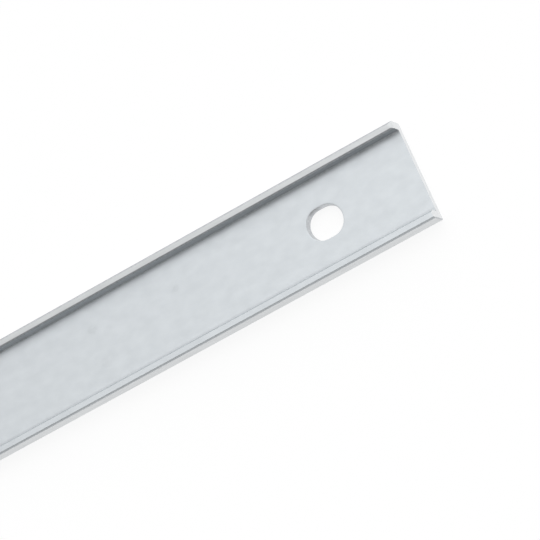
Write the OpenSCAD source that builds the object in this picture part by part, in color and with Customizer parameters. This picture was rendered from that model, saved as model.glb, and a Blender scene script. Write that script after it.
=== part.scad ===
// Termination bar: an extruded aluminium strip that clamps the edge of a roofing membrane to a wall.
// One extrusion: a flat web with a square lip along each long edge, sawn to length, with a row of
// punched slots for the fasteners. It lies on its back, lips up, with X along the bar.

/* [Bar] */
// Length that the bar is sold in, 10 ft
bar_length = 3048; // [600:1:6100]
// Width over both lips, 1 in
bar_width = 25.4; // [18:0.1:60]
// Thickness of the flat web, 3/32 in
web_thickness = 2.38; // [1.5:0.01:5]

/* [Lips] */
// Rise of each lip above the web, 1/8 in
lip_rise = 3.18; // [2:0.01:10]
// Thickness of each lip, 5/64 in
lip_thickness = 1.98; // [1.2:0.01:3]
// Radius in the corner where a lip meets the web
foot_radius = 0.4; // [0.1:0.01:1]
// Radius on the long edges of the section
edge_radius = 0.5; // [0.05:0.01:0.55]
// Bevel filed on the sawn ends of the lips
end_bevel = 0.4; // [0.1:0.01:1]

/* [Slots] */
// Width of a slot, 5/16 in
slot_width = 7.94; // [4:0.01:12]
// Play that a slot gives its fastener along the bar
slot_play = 1.59; // [0.5:0.01:20]
// Distance between the centres of neighbouring slots, 8 in
slot_spacing = 203.2; // [60:0.1:600]
// Distance from the first sawn end to the centre of the first slot, 1 in
end_distance = 25.4; // [18:0.1:100]
// Radius that the punch draws into the mouth of a slot
mouth_radius = 0.3; // [0.1:0.01:1]

/* [Hidden] */
$fn = 96;
// Overlap that carries a cut past the face it opens
past = 1;
bar_height = web_thickness + lip_rise;
trough_width = bar_width - 2 * lip_thickness;
slot_count = floor((bar_length - 2 * end_distance) / slot_spacing) + 1;
first_slot_x = bar_length / 2 - end_distance;
mouth_width = slot_width + 2 * mouth_radius;

// Rectangle centred on X, standing on Y = 0, with round corners below and above
module round_block(width, height, radius) {
    translate([-width / 2, radius])
        square([width, height - 2 * radius]);
    translate([radius - width / 2, 0])
        square([width - 2 * radius, height]);
    for (side = [-1, 1], level = [radius, height - radius])
        translate([side * (width / 2 - radius), level])
            circle(r = radius);
}

// Space between the lips: round in its two lower corners and open at the top
module trough() {
    translate([0, web_thickness])
        round_block(trough_width, lip_rise + past, foot_radius);
}

// Widening at the top of the trough that rounds the inner edge of each lip
module trough_mouth() {
    difference() {
        translate([-trough_width / 2 - edge_radius, bar_height - edge_radius])
            square([trough_width + 2 * edge_radius, edge_radius + past]);
        for (side = [-1, 1])
            translate([side * (trough_width / 2 + edge_radius), bar_height - edge_radius])
                circle(r = edge_radius);
    }
}

// Extruded section, with its back on Y = 0
module section() {
    difference() {
        round_block(bar_width, bar_height, edge_radius);
        trough();
        trough_mouth();
    }
}

// Sawn length of the extrusion, along X
module extrusion() {
    rotate([90, 0, 90])
        linear_extrude(height = bar_length, center = true)
            section();
}

// Upright prism with round ends, from the level of its base
module obround(width, base, height) {
    for (end = [-1, 1])
        translate([end * slot_play / 2, 0, base])
            cylinder(d = width, h = height);
    translate([-slot_play / 2, -width / 2, base])
        cube([slot_play, width, height]);
}

// Rounded rim of a slot: a bead that runs round the mouth just under the face of the web
module mouth_bead() {
    for (end = [-1, 1]) {
        translate([end * slot_play / 2, 0, web_thickness - mouth_radius])
            rotate(-90 * end)
                rotate_extrude(angle = 180)
                    translate([mouth_width / 2, 0])
                        circle(r = mouth_radius);
        translate([0, end * mouth_width / 2, web_thickness - mouth_radius])
            rotate([0, 90, 0])
                cylinder(r = mouth_radius, h = slot_play, center = true);
    }
}

// Punched slot through the web, with its mouth drawn in on the side of the lips
module slot() {
    obround(slot_width, -past, web_thickness + 2 * past);
    difference() {
        obround(mouth_width, web_thickness - mouth_radius, mouth_radius + past);
        mouth_bead();
    }
}

// Wedge off the top of both lips at the end that faces +X
module lip_end_bevel() {
    translate([bar_length / 2, 0, bar_height])
        rotate([0, 45, 0])
            cube([3 * end_bevel, bar_width + 2 * past, sqrt(2) * end_bevel], center = true);
}

// The whole bar, one piece of aluminium
module termination_bar() {
    color([0.84, 0.86, 0.87])
        difference() {
            extrusion();
            for (i = [0 : slot_count - 1])
                translate([first_slot_x - i * slot_spacing, 0, 0])
                    slot();
            lip_end_bevel();
            mirror([1, 0, 0])
                lip_end_bevel();
        }
}

termination_bar();
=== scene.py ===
# %% [markdown]
# # A termination bar in the studio
#
# A termination bar is a long aluminium strip that clamps the edge of a roofing membrane to a wall. It is
# one extrusion, a flat web between two low lips, which is then sawn to length and punched with a row of
# slots. The lesson loads the bar's solid, measures it, and rebuilds its skin as one fine closed mesh with
# four finishes: the metal as it left the die, a darker and more neutral grey on the outer walls and one
# lip, the sawn ends, and the dull metal of the slots' walls and the worn edges, which is also painted
# shade in the lips' feet, in the slots and on one lip's inner edge.

import math

import bmesh
import bpy
import numpy as np
from mathutils import Matrix, Vector


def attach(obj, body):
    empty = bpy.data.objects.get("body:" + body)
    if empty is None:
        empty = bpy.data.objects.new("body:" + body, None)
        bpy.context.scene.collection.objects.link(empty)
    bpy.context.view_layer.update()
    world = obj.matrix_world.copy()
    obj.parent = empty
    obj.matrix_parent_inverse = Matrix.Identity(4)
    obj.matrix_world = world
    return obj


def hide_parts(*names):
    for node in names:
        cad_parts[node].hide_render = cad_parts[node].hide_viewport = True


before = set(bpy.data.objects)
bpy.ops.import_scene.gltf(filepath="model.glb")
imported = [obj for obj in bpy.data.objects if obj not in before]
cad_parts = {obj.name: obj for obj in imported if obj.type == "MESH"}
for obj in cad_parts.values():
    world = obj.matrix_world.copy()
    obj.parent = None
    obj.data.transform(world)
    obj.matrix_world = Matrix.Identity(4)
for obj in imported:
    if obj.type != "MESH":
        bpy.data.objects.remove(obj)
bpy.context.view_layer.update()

# %% [markdown]
# ## Sizes from the solid
#
# The sizes could be typed in again, but then the skin could drift from the solid. Here they are read from
# the corners of the solid's mesh instead: the highest corner is the top of a lip, the highest corner near
# the middle is the web, and the corners that lie furthest out in a slot mark where its straight sides begin
# and end. A corner counts as lying on a face within a hundredth of a millimetre, so the radii of the edges
# and feet come out about 0.06 mm small.

# %% Measure the section
MM = 0.001
NEAR = 0.01 * MM
BAR = "termination_bar"

corners = np.empty(3 * len(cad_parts[BAR].data.vertices), np.float32)
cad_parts[BAR].data.vertices.foreach_get("co", corners)
x, y, z = corners.astype(float).reshape(-1, 3).T
off_middle = np.abs(y)

half_length, half_width, lip_top = x.max(), y.max(), z.max()
of_slot = off_middle < half_width / 2
web_top = z[of_slot].max()
wall_y = off_middle[z > (web_top + lip_top) / 2].min()
edge_radius = lip_top - z[off_middle > half_width - NEAR].max()
foot_radius = z[np.abs(off_middle - wall_y) < NEAR].min() - web_top
end_bevel = lip_top - z[x > half_length - NEAR].max()
print("web %.2f, lips %.2f high and %.2f thick, edges %.2f, feet %.2f, end bevel %.2f mm" % tuple(
    v / MM for v in (web_top, lip_top, half_width - wall_y, edge_radius, foot_radius, end_bevel)))

# %% Measure the slots
# A step along the bar that is longer than this many radii leads to the next slot
NEXT_SLOT = 4

on_back = of_slot & (z < NEAR)
slot_radius = off_middle[on_back].max()
mouth_radius = off_middle[of_slot & (z > web_top - NEAR)].max() - slot_radius
straight_x = np.sort(x[on_back & (off_middle > slot_radius - NEAR)])
slot_starts = np.flatnonzero(np.diff(straight_x, prepend=-np.inf) > NEXT_SLOT * slot_radius)
slot_low = np.minimum.reduceat(straight_x, slot_starts)
slot_high = np.maximum.reduceat(straight_x, slot_starts)
slot_x = (slot_low + slot_high) / 2
half_run = (slot_high - slot_low).max() / 2
print("%d slots, %.2f by %.2f mm, %.1f mm apart, mouth %.2f mm" % (
    len(slot_x), 2 * slot_radius / MM, 2 * (slot_radius + half_run) / MM,
    np.diff(slot_x).mean() / MM, mouth_radius / MM))

# %% [markdown]
# ## The extruded section
#
# An extrusion die gives every long edge a small radius, and a strip like this is easy to sweep: its section
# is a list of points, and the bar is that list repeated along X. A curve object with a bevel could do it
# too, but a grid of points also leaves room to weld the slots in. One half of the section is enough,
# because the other half is its mirror image. It starts and ends beside the strip that holds the slots. The
# edges of a lip are rubbed in transport, so their arcs lie between a round and a bevel, and the outer one
# is nearly flat.

# %% Half of the section
EDGE_STEPS = 8
# Half the width of the strip that holds the slots, in radii of a slot
SLOT_MARGIN = 1.5
# Powers of the arcs on a lip's outer and inner edge, and the reach of the outer one across the lip
RUBBED_FLAT = 1.9
RUBBED_ROUND = 1.3
RUBBED_ACROSS = 0.42 * MM

patch = SLOT_MARGIN * slot_radius


def arc(centre_y, centre_z, reach, first, last, power=1.0):
    """Points on a rounded edge: the centre plus the reach times cosine and sine of even steps in angle,
    each raised to a power. A power of 1 gives a circle and 2 a straight bevel."""
    angle = np.radians(np.linspace(first, last, EDGE_STEPS + 1))
    turned = np.stack([np.cos(angle), np.sin(angle)], axis=1)
    return [centre_y, centre_z] + np.array(reach) * np.sign(turned) * np.abs(turned) ** power


rubbed_reach = [RUBBED_ACROSS, edge_radius]
half_section = np.concatenate([
    [[patch, web_top]],
    arc(wall_y - foot_radius, web_top + foot_radius, foot_radius, -90, 0),
    arc(wall_y + edge_radius, lip_top - edge_radius, edge_radius, 180, 90, RUBBED_ROUND),
    arc(half_width - RUBBED_ACROSS, lip_top - edge_radius, rubbed_reach, 90, 0, RUBBED_FLAT),
    arc(half_width - edge_radius, edge_radius, edge_radius, 0, -90),
    [[patch, 0.0]],
])
print("half section of", len(half_section), "points")

# %% [markdown]
# ## The punched slots
#
# A punch draws the metal in a little at the mouth of a slot and shears the wall below it. The hole lies a
# hair off the middle of its mouth, and it narrows by a hair towards the back. A Boolean cut would leave a
# knife edge and stretched triangles. Here each slot is a set of rings instead. A ring follows the slot's
# outline at some distance from the wall and at some height, and the outermost ring is a rectangle, so that
# the slot fits into the grid of the web like a tile.

# %% Angles and rectangle of a slot's tile
# Steps in an eighth of a turn
EIGHTH = 10
# Places are rounded to this many decimals of a metre, so that shared borders get the same numbers
DECIMALS = 9

half_turn = np.radians(np.linspace(-90, 90, 4 * EIGHTH + 1))
ring_angle = np.concatenate([half_turn, half_turn + math.pi])
ring_centre = np.repeat([half_run, -half_run], len(half_turn))
tile_reach = patch / np.maximum(np.abs(np.cos(ring_angle)), np.abs(np.sin(ring_angle)))
tile_x = ring_centre + tile_reach * np.cos(ring_angle)
along_tile = np.abs(np.sin(ring_angle)) > math.sqrt(0.5) - 10.0 ** -DECIMALS
tile_stations = np.unique(tile_x[along_tile].round(DECIMALS))
across_tile = patch * np.tan(half_turn[EIGHTH:3 * EIGHTH + 1])
print("tile of", len(ring_angle), "points,", len(tile_stations), "along and", len(across_tile), "across")

# %% Rings of a slot, from the top of the web to its back
MOUTH_DEPTH = 0.05 * MM
OFF_MIDDLE = -0.20 * MM
TAPER = 0.16 * MM
BACK_EDGE = 0.05 * MM

mouth_turn = np.radians(np.linspace(90, 180, EDGE_STEPS + 1))
wall_gap = np.concatenate([
    [0], mouth_radius * (1 + np.cos(mouth_turn)), [-TAPER / 2, -TAPER, BACK_EDGE - TAPER, 0]])
ring_z = np.concatenate([
    [web_top], web_top - MOUTH_DEPTH * (1 - np.sin(mouth_turn)), [web_top / 2, BACK_EDGE, 0, 0]])
to_tile = np.zeros(len(ring_z))
to_tile[[0, -1]] = 1
ring_shift = OFF_MIDDLE * (1 - to_tile) * (1 - np.maximum(wall_gap, 0) / mouth_radius)


def slot_rings():
    """Points of all the slots. On each ray from the centre of a slot's end, the distance of a ring runs
    from the slot's radius plus the gap of that ring to the rectangle of the tile, by the share that the
    ring has of it. Each ring then moves across the bar by its own shift."""
    reach = (1 - to_tile)[:, None] * (slot_radius + wall_gap)[:, None] + to_tile[:, None] * tile_reach
    ring_x = ring_centre + reach * np.cos(ring_angle)
    ring_y = reach * np.sin(ring_angle) + ring_shift[:, None]
    shape = (len(slot_x), len(ring_z), len(ring_angle))
    return np.stack([
        np.broadcast_to(slot_x[:, None, None] + ring_x, shape),
        np.broadcast_to(ring_y, shape),
        np.broadcast_to(ring_z[:, None], shape)], axis=-1)


ring_points = slot_rings()
print("slot points", ring_points.shape)

# %% [markdown]
# ## One closed skin
#
# The lips are the half section carried along X, once on each side, and flat strips fill the web between the
# tiles. All of them use the same stations along the bar, so their borders meet point for point and can be
# welded. A file has taken the burr off the ends of the lips. A Bevel modifier would treat both lips alike,
# so the file's cuts are limits here: near an end nothing stands higher than a slope, which is 45 degrees on
# one lip and flattens towards the outside on the other, and one outer corner stays within a quarter circle.

# %% Stations along the bar
BEVEL_STEPS = 6
# Run of the flatter slope at the outer wall, in heights of the bevel
LONG_RUN = 3.0
CORNER_RADIUS = 0.28 * MM

bevel_run = end_bevel * LONG_RUN
bevel_stations = half_length - bevel_run * np.linspace(0, 1, 2 * BEVEL_STEPS + 1)
corner_stations = half_length - CORNER_RADIUS * (1 - np.sin(np.linspace(0, math.pi / 2, BEVEL_STEPS + 1)))
end_stations = np.concatenate([bevel_stations, corner_stations])
stations = np.unique(np.concatenate([
    (slot_x[:, None] + tile_stations).ravel(), end_stations, -end_stations]).round(DECIMALS))
middles = (stations[1:] + stations[:-1]) / 2
between_tiles = np.abs(middles[:, None] - slot_x).min(axis=1) > half_run + patch
print(len(stations), "stations,", int(between_tiles.sum()), "spans between tiles")

# %% Carry the profiles along the stations
def carried(profile_y, profile_z):
    """A profile carried along X: each of its points at each station, but near the ends no higher than the
    slope of the bevel, whose run grows across the +Y lip, and on the -Y side no further out than the
    corner's quarter circle."""
    from_middle = np.abs(stations)
    run = np.interp(profile_y, [wall_y, half_width], [end_bevel, bevel_run])[:, None]
    drop = end_bevel / run * np.maximum(from_middle - (half_length - run), 0)
    into_corner = np.clip(from_middle - (half_length - CORNER_RADIUS), 0, CORNER_RADIUS)
    breadth = half_width - CORNER_RADIUS + np.sqrt(CORNER_RADIUS ** 2 - into_corner ** 2)
    return np.stack([
        np.broadcast_to(stations, (len(profile_y), len(stations))),
        np.maximum(profile_y[:, None], -breadth),
        np.minimum(profile_z[:, None], lip_top - drop)], axis=-1)


def quads(rows, columns, closed=False):
    """Quads of a grid of points numbered row by row: each point with its right, upper right and upper
    neighbour. In a closed grid the last column joins the first."""
    row = np.arange(rows - 1)[:, None]
    column = np.arange(columns if closed else columns - 1)
    after = (column + 1) % columns
    corners_of_quads = [row * columns + column, row * columns + after,
                        (row + 1) * columns + after, (row + 1) * columns + column]
    return np.stack(corners_of_quads, axis=-1)


section_y, section_z = half_section.T
level = np.ones(len(across_tile))
lip_grids = [carried(section_y, section_z), carried(-section_y, section_z)]
web_grids = [carried(across_tile, web_top * level), carried(across_tile, 0 * level)]
print("lips", lip_grids[0].shape, "web", web_grids[0].shape)

# %% Gather the points and faces
lip_quads = quads(len(half_section), len(stations)).reshape(-1, 4)
web_quads = quads(len(across_tile), len(stations))[:, between_tiles].reshape(-1, 4)
ring_quads = quads(len(ring_z), len(ring_angle), closed=True).reshape(-1, 4)

grids = [(g.reshape(-1, 3), lip_quads) for g in lip_grids]
grids += [(g.reshape(-1, 3), web_quads) for g in web_grids]
grids += [(slot.reshape(-1, 3), ring_quads) for slot in ring_points]
firsts = np.cumsum([0] + [len(points) for points, _ in grids])
skin_points = np.concatenate([points for points, _ in grids])
skin_quads = np.concatenate([faces + first for (_, faces), first in zip(grids, firsts)])

lip_end = np.arange(len(half_section)) * len(stations)
web_end = np.arange(len(across_tile)) * len(stations)
end_loop = np.concatenate([
    firsts[2] + web_end, firsts[0] + lip_end, firsts[3] + web_end[::-1], firsts[1] + lip_end[::-1]])
end_caps = np.stack([end_loop, end_loop + len(stations) - 1])
print(len(skin_points), "points,", len(skin_quads), "quads and", len(end_caps), "sawn ends")

# %% Weld the skin
WELD = 0.002 * MM
CUBIC_CM = 1e-6

used, quads_of_used = np.unique(skin_quads, return_inverse=True)
caps_of_used = np.searchsorted(used, end_caps)
skin = bpy.data.meshes.new("bar_skin")
skin.from_pydata(skin_points[used], [], quads_of_used.reshape(-1, 4).tolist() + caps_of_used.tolist())
welded = bmesh.new()
welded.from_mesh(skin)
bmesh.ops.remove_doubles(welded, verts=welded.verts, dist=WELD)
bmesh.ops.dissolve_degenerate(welded, dist=WELD, edges=welded.edges)
bmesh.ops.recalc_face_normals(welded, faces=welded.faces)
volume = welded.calc_volume(signed=True)
welded.to_mesh(skin)
welded.free()
edge_of_corner = np.empty(len(skin.loops), np.int32)
skin.loops.foreach_get("edge_index", edge_of_corner)
open_edges = int((np.bincount(edge_of_corner, minlength=len(skin.edges)) != 2).sum())
print("volume %.1f cm3, open edges %d, faces %d" % (
    volume / CUBIC_CM, open_edges, len(skin.polygons)))

# %% [markdown]
# ## Smooth edges beside flat faces
#
# The rounded edges need smooth shading, and the flats beside them should stay flat. Blender averages the
# normals at every point, which would tilt the flats, so edges above 30 degrees are marked sharp and a
# Weighted Normal modifier lets the larger face decide at each of the other points.

# %% The bar as an object
SHARP = math.radians(30)

bar = bpy.data.objects.new("bar_skin", skin)
bpy.context.scene.collection.objects.link(bar)
skin.polygons.foreach_set("use_smooth", np.ones(len(skin.polygons), bool))
skin.set_sharp_from_angle(angle=SHARP)
flats = bar.modifiers.new("flat faces", "WEIGHTED_NORMAL")
flats.keep_sharp = True
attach(bar, "root")
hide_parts(BAR)
print("bar has", len(skin.loops) - 2 * len(skin.polygons), "triangles")

# %% [markdown]
# ## Lines that a tool leaves
#
# All the finishes carry fine lines: the die draws them along the bar, the saw leaves them across the ends,
# and the punch leaves them up the walls of the slots. They could be painted, but the bar is three metres
# long. So the lines are one node group, a noise that is stretched by different numbers of lines per metre
# on each axis, and each material gives it its own numbers.

# %% Node group: tool lines
def add_node(tree, kind, place, **settings):
    """A node of that kind at a place in the tree, with the settings given."""
    node = tree.nodes.new(kind)
    node.location = place
    for name, value in settings.items():
        setattr(node, name, value)
    return node


lines_group = bpy.data.node_groups.new("tool_lines", "ShaderNodeTree")
lines_group.interface.new_socket("Lines Per Metre", in_out="INPUT", socket_type="NodeSocketVector")
lines_group.interface.new_socket("Detail", in_out="INPUT", socket_type="NodeSocketFloat")
lines_group.interface.new_socket("Lines", in_out="OUTPUT", socket_type="NodeSocketFloat")
lines_in = add_node(lines_group, "NodeGroupInput", (-600, 0))
lines_place = add_node(lines_group, "ShaderNodeTexCoord", (-600, 200))
lines_stretch = add_node(lines_group, "ShaderNodeMapping", (-400, 100))
lines_noise = add_node(lines_group, "ShaderNodeTexNoise", (-200, 100))
lines_out = add_node(lines_group, "NodeGroupOutput", (0, 100))
lines_noise.inputs["Scale"].default_value = 1.0
lines_group.links.new(lines_place.outputs["Object"], lines_stretch.inputs["Vector"])
lines_group.links.new(lines_in.outputs["Lines Per Metre"], lines_stretch.inputs["Scale"])
lines_group.links.new(lines_stretch.outputs["Vector"], lines_noise.inputs["Vector"])
lines_group.links.new(lines_in.outputs["Detail"], lines_noise.inputs["Detail"])
lines_group.links.new(lines_noise.outputs["Fac"], lines_out.inputs["Lines"])
print("group", lines_group.name, "made")

# %% [markdown]
# ## The four finishes
#
# Mill aluminium is bare metal with a thin dull oxide, so it is a metallic shader with a middling roughness
# and a slightly blue grey. Its tone wanders by a percent or two in soft blotches. On the outer walls and on
# top of the +Y lip, the metal is a darker and more neutral grey. The sawn ends are fresher and brighter, and
# the sheared walls and worn edges are duller. The dull metal is also used as painted shade: in the feet of
# the lips, on the inner edge of the +Y lip above its dark wall, and in part on the walls of the slots. It
# also darkens the rounded -Y corner at each end. Four separate materials would repeat the same nodes, so
# one function makes them all.

# %% A metal with tool lines
NOISE_LOW = 0.3
NOISE_HIGH = 0.7
LINE_DETAIL = 2.0
BLOTCH_DETAIL = 3.0


def tool_lines(tree, place, per_metre, detail):
    """The group of tool lines in a material, with its own numbers of lines per metre along X, Y and Z."""
    node = add_node(tree, "ShaderNodeGroup", place, node_tree=lines_group)
    node.inputs["Lines Per Metre"].default_value = per_metre
    node.inputs["Detail"].default_value = detail
    return node


def lined_metal(name, per_metre, depth, dull, bright, blotch_per_metre, roughness):
    """A metal whose lines stand up by a depth in metres and whose colour and roughness run between two
    values, lighter and smoother where a coarse noise is high."""
    metal = bpy.data.materials.new(name)
    metal.use_nodes = True
    tree = metal.node_tree
    shader = tree.nodes["Principled BSDF"]
    shader.inputs["Metallic"].default_value = 1.0

    lines = tool_lines(tree, (-800, -300), per_metre, LINE_DETAIL)
    bump = add_node(tree, "ShaderNodeBump", (-300, -300))
    bump.inputs["Distance"].default_value = depth
    tree.links.new(lines.outputs["Lines"], bump.inputs["Height"])
    tree.links.new(bump.outputs["Normal"], shader.inputs["Normal"])

    blotches = tool_lines(tree, (-800, 100), blotch_per_metre, BLOTCH_DETAIL)
    colour = add_node(tree, "ShaderNodeValToRGB", (-500, 200))
    colour.color_ramp.elements[0].position = NOISE_LOW
    colour.color_ramp.elements[0].color = (*dull, 1.0)
    colour.color_ramp.elements[1].position = NOISE_HIGH
    colour.color_ramp.elements[1].color = (*bright, 1.0)
    tree.links.new(blotches.outputs["Lines"], colour.inputs["Fac"])
    tree.links.new(colour.outputs["Color"], shader.inputs["Base Color"])

    gloss = add_node(tree, "ShaderNodeMapRange", (-500, -50))
    gloss.inputs["From Min"].default_value = NOISE_LOW
    gloss.inputs["From Max"].default_value = NOISE_HIGH
    gloss.inputs["To Min"].default_value = roughness[0]
    gloss.inputs["To Max"].default_value = roughness[1]
    tree.links.new(blotches.outputs["Lines"], gloss.inputs["Value"])
    tree.links.new(gloss.outputs["Result"], shader.inputs["Roughness"])
    return metal


print("noise from", NOISE_LOW, "to", NOISE_HIGH, "sets a metal's colour and roughness")

# %% The metals of the bar
mill_metal = lined_metal(
    "mill_metal", per_metre=(2, 4000, 4000), depth=0.0006 * MM,
    dull=(0.741, 0.779, 0.807), bright=(0.776, 0.814, 0.842),
    blotch_per_metre=(280, 450, 450), roughness=(0.44, 0.41))
# A darker, more neutral grey for the outer walls and the top of the +Y lip
darker_grey_metal = lined_metal(
    "darker_grey_metal", per_metre=(40, 4000, 4000), depth=0.0006 * MM,
    dull=(0.695, 0.712, 0.722), bright=(0.740, 0.757, 0.767),
    blotch_per_metre=(150, 900, 900), roughness=(0.43, 0.39))
sawn_metal = lined_metal(
    "sawn_metal", per_metre=(900, 300, 6000), depth=0.002 * MM,
    dull=(0.81, 0.83, 0.84), bright=(0.87, 0.88, 0.89),
    blotch_per_metre=(600, 600, 600), roughness=(0.42, 0.36))
# Duller metal for sheared walls and worn edges, also used as painted shade in the feet, on one lip's inner
# edge and in the slots
dull_metal_and_shade = lined_metal(
    "dull_metal_and_shade", per_metre=(5000, 5000, 300), depth=0.004 * MM,
    dull=(0.55, 0.57, 0.59), bright=(0.67, 0.69, 0.71),
    blotch_per_metre=(1500, 1500, 1500), roughness=(0.5, 0.4))
metals = [mill_metal, darker_grey_metal, sawn_metal, dull_metal_and_shade]
print("metals:", [m.name for m in metals])

# %% [markdown]
# ## Marks of handling and painted shade
#
# The bar has a few faint spots on the web, which are marks on the metal. The other marks here are painted
# shade: a darker patch on the +Y wall of the first slot, a faint line on the web along the foot of the -Y
# lip, and two long bands on the inner wall of the +Y lip, at its top and at its foot, which make that wall
# darker towards the end. What made them is a guess: fingers, grease or grime, and for the wall perhaps only
# the light. They could be drawn in a texture, but a soft spot is also just a distance: it is darkest at its
# own place and fades out at its radius, and a little noise bends its outline. A line is a spot that doesn't
# count the distance along the bar, and a long band is one that counts the other distances many times. So
# they share one node group, which returns only a mask, and a finish multiplies its colour by less than one
# where the mask is high.

# %% Node group: soft spot
SPOT_WAVES = 700.0
# The noise runs from 0 to 1, and its span and start turn that into -1 to 1, along X and Y only
BEND_SPAN = (2.0, 2.0, 0.0)
BEND_START = (-1.0, -1.0, 0.0)

spot_group = bpy.data.node_groups.new("soft_spot", "ShaderNodeTree")
spot_group.interface.new_socket("Place", in_out="INPUT", socket_type="NodeSocketVector")
spot_group.interface.new_socket("Radius", in_out="INPUT", socket_type="NodeSocketFloat")
spot_group.interface.new_socket("Axes", in_out="INPUT", socket_type="NodeSocketVector")
spot_group.interface.new_socket("Bend", in_out="INPUT", socket_type="NodeSocketFloat")
spot_group.interface.new_socket("Mask", in_out="OUTPUT", socket_type="NodeSocketFloat")
spot_in = add_node(spot_group, "NodeGroupInput", (-1200, -200))
spot_here = add_node(spot_group, "ShaderNodeTexCoord", (-1600, 200))
spot_noise = add_node(spot_group, "ShaderNodeTexNoise", (-1400, 0))
spot_shift = add_node(spot_group, "ShaderNodeVectorMath", (-1200, 0), operation="MULTIPLY_ADD")
spot_bend = add_node(spot_group, "ShaderNodeVectorMath", (-1000, 0), operation="SCALE")
spot_bent = add_node(spot_group, "ShaderNodeVectorMath", (-800, 200), operation="ADD")
spot_from = add_node(spot_group, "ShaderNodeVectorMath", (-600, 200), operation="SUBTRACT")
spot_axes = add_node(spot_group, "ShaderNodeVectorMath", (-400, 200), operation="MULTIPLY")
spot_away = add_node(spot_group, "ShaderNodeVectorMath", (-300, 0), operation="LENGTH")
spot_fade = add_node(spot_group, "ShaderNodeMapRange", (-200, 100), interpolation_type="SMOOTHSTEP")
spot_out = add_node(spot_group, "NodeGroupOutput", (0, 100))
spot_noise.inputs["Scale"].default_value = SPOT_WAVES
spot_shift.inputs[1].default_value = BEND_SPAN
spot_shift.inputs[2].default_value = BEND_START
spot_fade.inputs["To Min"].default_value = 1.0
spot_fade.inputs["To Max"].default_value = 0.0
print("group", spot_group.name, "has", len(spot_group.nodes), "nodes")

# %% Wire the soft spot
spot_group.links.new(spot_here.outputs["Object"], spot_noise.inputs["Vector"])
spot_group.links.new(spot_noise.outputs["Color"], spot_shift.inputs[0])
spot_group.links.new(spot_shift.outputs["Vector"], spot_bend.inputs[0])
spot_group.links.new(spot_in.outputs["Bend"], spot_bend.inputs["Scale"])
spot_group.links.new(spot_here.outputs["Object"], spot_bent.inputs[0])
spot_group.links.new(spot_bend.outputs["Vector"], spot_bent.inputs[1])
spot_group.links.new(spot_bent.outputs["Vector"], spot_from.inputs[0])
spot_group.links.new(spot_in.outputs["Place"], spot_from.inputs[1])
spot_group.links.new(spot_from.outputs["Vector"], spot_axes.inputs[0])
spot_group.links.new(spot_in.outputs["Axes"], spot_axes.inputs[1])
spot_group.links.new(spot_axes.outputs["Vector"], spot_away.inputs[0])
spot_group.links.new(spot_away.outputs["Value"], spot_fade.inputs["Value"])
spot_group.links.new(spot_in.outputs["Radius"], spot_fade.inputs["From Max"])
spot_group.links.new(spot_fade.outputs["Result"], spot_out.inputs["Mask"])
print("group", spot_group.name, "has", len(spot_group.links), "links")

# %% A metal with spots
SPOT_BEND = 1.6 * MM


def spotted(metal, spots, shade, axes=(1, 1, 1), bend=SPOT_BEND, height=web_top):
    """Darken a metal's colour by a share at each spot, given by its distance from the end, its place across
    the bar and its radius, all in millimetres. A spot lies at a height, and the distance from it along each
    axis counts as many times as that axis says."""
    tree = metal.node_tree
    shader = tree.nodes["Principled BSDF"]
    colour = shader.inputs["Base Color"].links[0].from_socket
    for from_end, across, radius in spots:
        row = 200 * sum(node.bl_idname == "ShaderNodeMix" for node in tree.nodes)
        spot = add_node(tree, "ShaderNodeGroup", (-800, 450 + row), node_tree=spot_group)
        spot.inputs["Place"].default_value = (half_length - from_end * MM, across * MM, height)
        spot.inputs["Radius"].default_value = radius * MM
        spot.inputs["Axes"].default_value = axes
        spot.inputs["Bend"].default_value = bend
        darker = add_node(tree, "ShaderNodeMix", (-250, 300 + row), data_type="RGBA")
        darker.blend_type = "MULTIPLY"
        darker.inputs["B"].default_value = (1 - shade, 1 - shade, 1 - shade, 1.0)
        tree.links.new(spot.outputs["Mask"], darker.inputs["Factor"])
        tree.links.new(colour, darker.inputs["A"])
        colour = darker.outputs["Result"]
    tree.links.new(colour, shader.inputs["Base Color"])


print("a spot's outline bends by up to %.1f mm" % (SPOT_BEND / MM))

# %% Spots on the web, and painted shade in a slot, along a foot and on a wall
# Each mark's distance from the end, place across the bar and radius, in millimetres
SPOTS = [(65.8, 3.4, 1.5), (89.7, 4.1, 1.6), (89.5, -4.6, 1.8)]
SPOT_SHADE = 0.06
# Painted shade on the +Y wall of the first slot, darkest at its top
SLOT_WALL_SHADE = (27.0, 3.8, 2.7)
SLOT_SHADE = 0.45
# Painted shade on the web along the foot of the -Y lip, 0.8 mm off its wall
FOOT_FROM_WALL = 0.8
FOOT_REACH = 0.6
FOOT_SHADE_LINE = (0.0, FOOT_FROM_WALL - wall_y / MM, FOOT_REACH)
FOOT_SHADE = 0.12
FOOT_AXES = (0, 1, 1)
FOOT_BEND = 0.15 * MM
# Painted shade: two long bands that darken the top and the foot of the +Y lip's inner wall towards the end
WALL_SHADE_REACH = 95.0
PAINTED_WALL_SHADE = (0.0, wall_y / MM, WALL_SHADE_REACH)
WALL_SHADE_SHARE = 0.24
WALL_SHADE_AXES = (1, 60, 55)

spotted(mill_metal, SPOTS, SPOT_SHADE)
# Painted shade along the foot of the -Y lip
spotted(mill_metal, [FOOT_SHADE_LINE], FOOT_SHADE, FOOT_AXES, FOOT_BEND)
# The two bands of painted shade on the wall under the +Y lip, at its foot and near its top
for wall_shade_z in (web_top, lip_top - edge_radius):
    spotted(mill_metal, [PAINTED_WALL_SHADE], WALL_SHADE_SHARE, WALL_SHADE_AXES, FOOT_BEND, wall_shade_z)
# Painted shade on the +Y wall of the first slot
spotted(dull_metal_and_shade, [SLOT_WALL_SHADE], SLOT_SHADE)
# Only the spots on the web are marks on the metal; the one in the slot, the line and the two smears are
# painted shade
print(len(SPOTS), "spots on the web, one in the first slot, a line along a foot and two smears on a wall")

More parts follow.
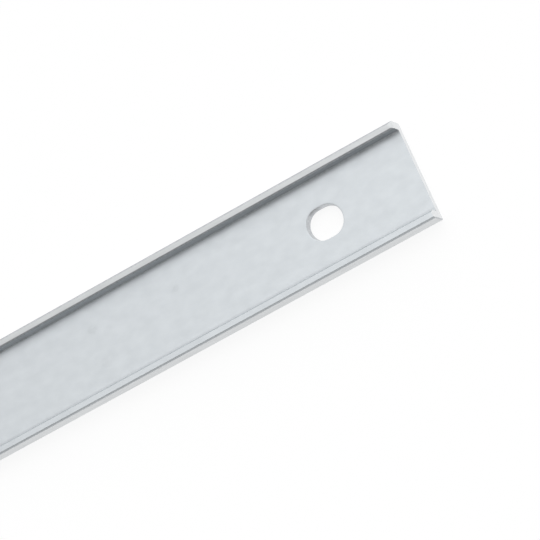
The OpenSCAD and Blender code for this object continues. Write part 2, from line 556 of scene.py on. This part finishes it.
# %% [markdown]
# ## A finish for each face
#
# One mesh can carry several materials, because each face holds the number of its own. The faces could be
# picked by hand in Edit Mode, but rules are easier to change: the place of a face and the direction that it
# looks in say whether it is a darker grey face, a worn edge, a foot or edge in painted shade, the wall of a
# slot, a sawn end or the rounded corner beside it. A later rule wins over an earlier one, and what no rule
# names keeps the mill finish.

# %% Place and tilt of each face
for metal in metals:
    skin.materials.append(metal)
normal = np.empty(3 * len(skin.polygons), np.float32)
centre = np.empty(3 * len(skin.polygons), np.float32)
skin.polygons.foreach_get("normal", normal)
skin.polygons.foreach_get("center", centre)
normal = normal.reshape(-1, 3)
centre = centre.reshape(-1, 3)
centre_x, centre_y, centre_z = centre.T
tilt_x, tilt_y, tilt_z = np.abs(normal).T
from_axis = np.abs(centre_y)
print(len(skin.materials), "finishes for", len(skin.polygons), "faces")

# %% Give each face its finish
MILL, DARKER_GREY, SAWN, DULL_AND_SHADE = range(len(metals))
FULL_TILT = 0.99
STEEP_TILT = 0.6
LOW_TILT = 0.3
ANY_TILT = 0.05

at_end = np.abs(centre_x) > half_length - bevel_run
at_corner = at_end & (centre_y < CORNER_RADIUS - half_width)
on_lip = (centre_y > wall_y) & (centre_z > lip_top - end_bevel) & (tilt_y < LOW_TILT)
on_outer_wall = (from_axis > half_width - NEAR) & (tilt_y > FULL_TILT)
on_outer_edge = (centre_y > half_width - RUBBED_ACROSS) & (centre_z > web_top)
on_inner_edge = (centre_y > wall_y) & (centre_y < wall_y + edge_radius) & (centre_z > web_top)
foot_in_shade = (from_axis > wall_y - foot_radius) & (from_axis < wall_y)
foot_in_shade &= (centre_z > web_top) & (centre_z < web_top + foot_radius)
finish = np.full(len(skin.polygons), MILL, np.int32)
# The outer walls and the top of the +Y lip get the darker grey
finish[on_lip | on_outer_wall] = DARKER_GREY
# The worn outer edge of the +Y lip, and its inner edge above the dark wall, where the dull metal is painted
# shade
finish[(on_outer_edge | on_inner_edge) & (tilt_y > LOW_TILT) & (tilt_z > ANY_TILT)] = DULL_AND_SHADE
# Painted shade in the feet of the lips
finish[foot_in_shade & (tilt_z > ANY_TILT)] = DULL_AND_SHADE
# The sheared walls of the slots, whose duller colour is partly painted shade inside the slots
finish[(from_axis < patch) & (tilt_z < LOW_TILT)] = DULL_AND_SHADE
finish[at_end & (tilt_x > STEEP_TILT)] = SAWN
# The rounded -Y corner at each end is darker
finish[at_corner & (tilt_x > ANY_TILT) & (tilt_z < STEEP_TILT)] = DULL_AND_SHADE
skin.polygons.foreach_set("material_index", finish)
print("faces: mill %d, scuffed %d, sawn %d, dull %d" % tuple(
    np.bincount(finish, minlength=len(metals))))

# %% [markdown]
# ## Light
#
# Metal shows what stands around it. A lamp would do for the shadow, but the metal also needs something to
# mirror, so the world itself is the light: a long soft panel over the bar, on the side away from the
# camera, in a darker room. The web mirrors the panel and comes out pale. The wall under the upper lip sends
# the eye down to the web and from there back to the dark side of the room, so it comes out dark.

# %% A long soft panel over the bar
PANEL_LEVEL = 1.25
# Lean of a direction from upright towards +Y, in degrees, and the light that comes from there
PANEL = [
    (-90, 0.40), (-60, 0.34), (-30, 0.20), (-14, 0.20),
    (5, 1.0), (30, 1.0), (55, 0.80), (80, 0.74)]
# Share of the light that is lost towards -X, and the X of a direction where the loss starts
FALL = 0.70
FALL_START = -0.1

world = bpy.data.worlds.new("studio_panel")
world.use_nodes = True
bpy.context.scene.world = world
sky = world.node_tree
direction = add_node(sky, "ShaderNodeTexCoord", (-1100, 0))
axes = add_node(sky, "ShaderNodeSeparateXYZ", (-900, 0))
lean = add_node(sky, "ShaderNodeMath", (-700, 150), operation="ARCTAN2")
lean_share = add_node(sky, "ShaderNodeMapRange", (-500, 150))
lean_share.inputs["From Min"].default_value = -math.pi / 2
lean_share.inputs["From Max"].default_value = math.pi / 2
panel = add_node(sky, "ShaderNodeValToRGB", (-300, 150))
panel.color_ramp.interpolation = "EASE"
# The ramp's 0 to 1 stands for -90 to 90 degrees
while len(panel.color_ramp.elements) < len(PANEL):
    panel.color_ramp.elements.new(0.5)
for stop, (degrees, level_here) in zip(panel.color_ramp.elements, PANEL):
    stop.position = degrees / 180 + 0.5
    stop.color = (level_here, level_here, level_here, 1.0)
print("panel of", len(panel.color_ramp.elements), "stops")

# %% Let the light fall along the bar, and wire the world
fall = add_node(sky, "ShaderNodeMapRange", (-500, -200))
fall.inputs["From Min"].default_value = -1.0
fall.inputs["From Max"].default_value = FALL_START
fall.inputs["To Min"].default_value = (1 - FALL) * PANEL_LEVEL
fall.inputs["To Max"].default_value = PANEL_LEVEL
sky.links.new(direction.outputs["Generated"], axes.inputs["Vector"])
sky.links.new(axes.outputs["Y"], lean.inputs[0])
sky.links.new(axes.outputs["Z"], lean.inputs[1])
sky.links.new(axes.outputs["X"], fall.inputs["Value"])
sky.links.new(lean.outputs["Value"], lean_share.inputs["Value"])
sky.links.new(lean_share.outputs["Result"], panel.inputs["Fac"])
sky.links.new(panel.outputs["Color"], sky.nodes["Background"].inputs["Color"])
sky.links.new(fall.outputs["Result"], sky.nodes["Background"].inputs["Strength"])
print("world", world.name, "has", len(sky.links), "links")

# %% Measure the light on the floor
def light_on_floor(heights=200, bearings=400):
    """Light that open floor gets: the mean of the world's radiance over a half sphere, weighted by the
    height of the direction, on a grid of even steps in height squared and compass angle."""
    height_squared = (np.arange(heights) + 0.5)[:, None] / heights
    compass = 2 * math.pi * (np.arange(bearings) + 0.5) / bearings
    flat = np.sqrt(1 - height_squared)
    toward_x, toward_y = flat * np.cos(compass), flat * np.sin(compass)
    stops, levels = np.transpose(PANEL)
    panel_here = np.interp(np.degrees(np.arctan2(toward_y, np.sqrt(height_squared))), stops, levels)
    fall_here = np.interp(toward_x, [-1, FALL_START], [1 - FALL, 1])
    return float((PANEL_LEVEL * panel_here * fall_here).mean())


mean_light = light_on_floor()
print("mean light on the floor", round(mean_light, 3))

# %% [markdown]
# ## Floor
#
# The bar lies on a white floor. A plain white floor under soft light comes out grey, so the floor also
# glows for the camera and for reflections, by just as much as the open floor lacks to white. What is left
# to the light is what a shadow can take away, so the bar keeps a soft shadow along its foot.

# %% A wide floor just under the bar
FLOOR_REACH = 200.0
FLOOR_DROP = 0.02 * MM

floor_mesh = bpy.data.meshes.new("studio_floor")
floor_points = FLOOR_REACH * np.array([[-1, -1, 0], [1, -1, 0], [1, 1, 0], [-1, 1, 0]], float)
floor_points[:, 2] = -FLOOR_DROP
floor_mesh.from_pydata(floor_points, [], [[0, 1, 2, 3]])
floor = bpy.data.objects.new("studio_floor", floor_mesh)
bpy.context.scene.collection.objects.link(floor)
print("floor reaches", FLOOR_REACH, "m to each side")

# %% A white that keeps the shadow
# Grey of the floor under its glow, for the camera and reflections, and its grey for all other light
FLOOR_GREY = 0.20
FLOOR_PLAIN = 0.80

floor_glow = 1 - FLOOR_GREY * mean_light
floor_white = bpy.data.materials.new("studio_white")
floor_white.use_nodes = True
tree = floor_white.node_tree
tree.nodes.remove(tree.nodes["Principled BSDF"])
path = add_node(tree, "ShaderNodeLightPath", (-900, 300))
mirror = add_node(tree, "ShaderNodeMath", (-700, 300), operation="MAXIMUM")
seen = add_node(tree, "ShaderNodeMath", (-500, 300), operation="MAXIMUM")
plain = add_node(tree, "ShaderNodeBsdfDiffuse", (-500, 100))
grey = add_node(tree, "ShaderNodeBsdfDiffuse", (-500, -50))
glow = add_node(tree, "ShaderNodeEmission", (-500, -200))
white = add_node(tree, "ShaderNodeAddShader", (-250, -100))
pick = add_node(tree, "ShaderNodeMixShader", (0, 100))
plain.inputs["Color"].default_value = (FLOOR_PLAIN, FLOOR_PLAIN, FLOOR_PLAIN, 1.0)
grey.inputs["Color"].default_value = (FLOOR_GREY, FLOOR_GREY, FLOOR_GREY, 1.0)
glow.inputs["Strength"].default_value = floor_glow
print("floor glows by", round(floor_glow, 3))

# %% Wire the floor's white
tree.links.new(path.outputs["Is Glossy Ray"], mirror.inputs[0])
tree.links.new(path.outputs["Is Transmission Ray"], mirror.inputs[1])
tree.links.new(path.outputs["Is Camera Ray"], seen.inputs[0])
tree.links.new(mirror.outputs["Value"], seen.inputs[1])
tree.links.new(grey.outputs["BSDF"], white.inputs[0])
tree.links.new(glow.outputs["Emission"], white.inputs[1])
tree.links.new(seen.outputs["Value"], pick.inputs["Fac"])
tree.links.new(plain.outputs["BSDF"], pick.inputs[1])
tree.links.new(white.outputs["Shader"], pick.inputs[2])
tree.links.new(pick.outputs["Shader"], tree.nodes["Material Output"].inputs["Surface"])
floor_mesh.materials.append(floor_white)
print("material", floor_white.name, "has", len(tree.links), "links")

# %% [markdown]
# ## Camera
#
# The picture looks steeply down on one end of the bar through a long lens, turned so that the bar runs down
# to the left. A camera can be aimed with a Track To constraint, but then its turn about the line of sight
# is fixed. Here its three axes are worked out from the line of sight and the direction that is up in the
# picture.

# %% A long lens
LENS = 191.17
SENSOR = 36.0
CLIP_NEAR = 0.01
CLIP_FAR = 1000.0

camera_data = bpy.data.cameras.new("camera")
camera_data.lens = LENS
camera_data.sensor_width = SENSOR
camera_data.clip_start = CLIP_NEAR
camera_data.clip_end = CLIP_FAR
camera = bpy.data.objects.new("camera", camera_data)
bpy.context.scene.collection.objects.link(camera)
print("lens of", LENS, "mm on a sensor of", SENSOR, "mm")

# %% Aim over the sawn end
AIM_FROM_END = 43.21 * MM
AIM_ACROSS = -3.27 * MM
SIGHT = Vector((-0.29773, 0.25208, -0.92077)).normalized()
PICTURE_UP = Vector((0.45947, 0.88329, 0.09325))
DISTANCE = 674.9 * MM

right = SIGHT.cross(PICTURE_UP).normalized()
up = right.cross(SIGHT)
turn = Matrix((right, up, -SIGHT)).transposed()
aim = Vector((half_length - AIM_FROM_END, AIM_ACROSS, 0.0))
camera.matrix_world = Matrix.Translation(aim - DISTANCE * SIGHT) @ turn.to_4x4()
bpy.context.scene.camera = camera
bpy.context.scene.view_settings.view_transform = "Standard"
print("camera at", [round(v, 4) for v in camera.location])
